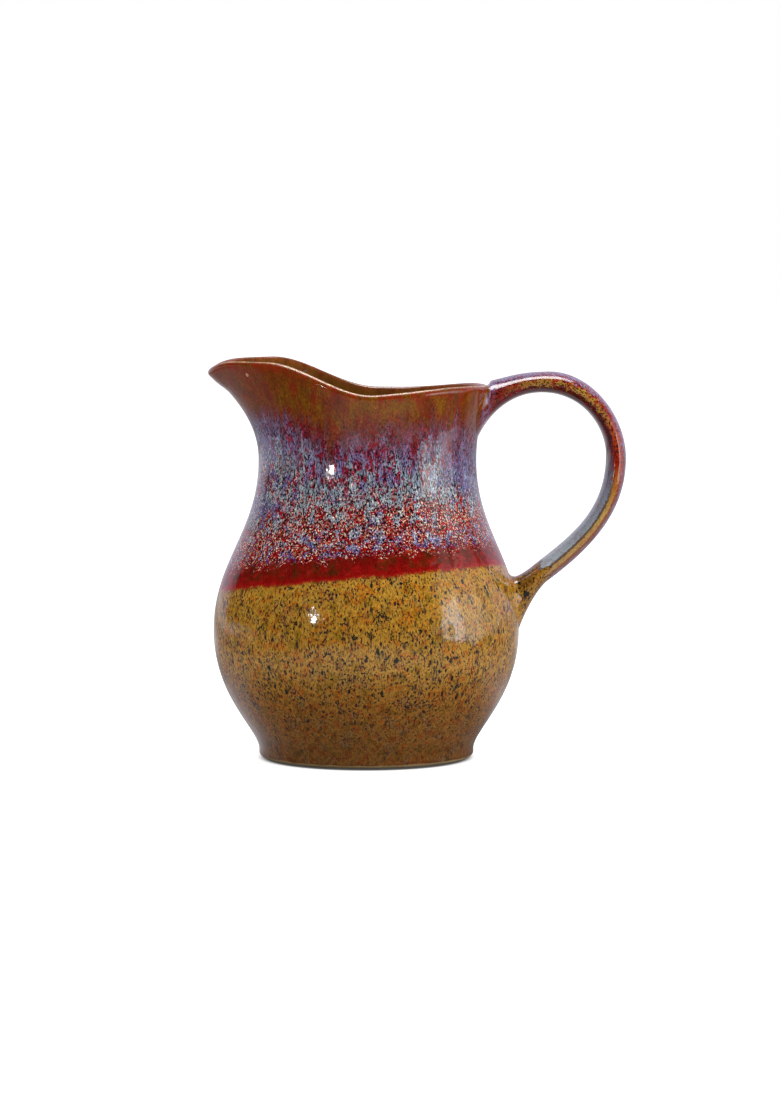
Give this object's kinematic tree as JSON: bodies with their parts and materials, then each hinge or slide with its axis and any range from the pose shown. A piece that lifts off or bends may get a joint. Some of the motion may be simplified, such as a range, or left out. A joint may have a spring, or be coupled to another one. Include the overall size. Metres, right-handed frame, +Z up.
{
  "type": "water jug",
  "caption": "Stoneware water jug with a rounded belly, waisted neck, pulled pouring spout and a strap handle from rim to belly, for holding and pouring water.",
  "frame": {"origin": "centre of the flat base, on the surface the jug stands on", "axes": "+Z up through the mouth, -X towards the spout, +X towards the handle"},
  "size_m": [0.1918, 0.1404, 0.1822],
  "materials": {
    "body_glaze": "glossy speckled dip glaze, tan below and blue-grey with red above",
    "handle_glaze": "glossy speckled dip glaze",
    "fired_slip": "matt fired clay slip under the glaze"
  },
  "bodies": {
    "root": {"body": "body_glaze", "handle": "handle_glaze", "upper_slip_joint": "fired_slip", "lower_slip_joint": "fired_slip"}
  },
  "joints": []
}
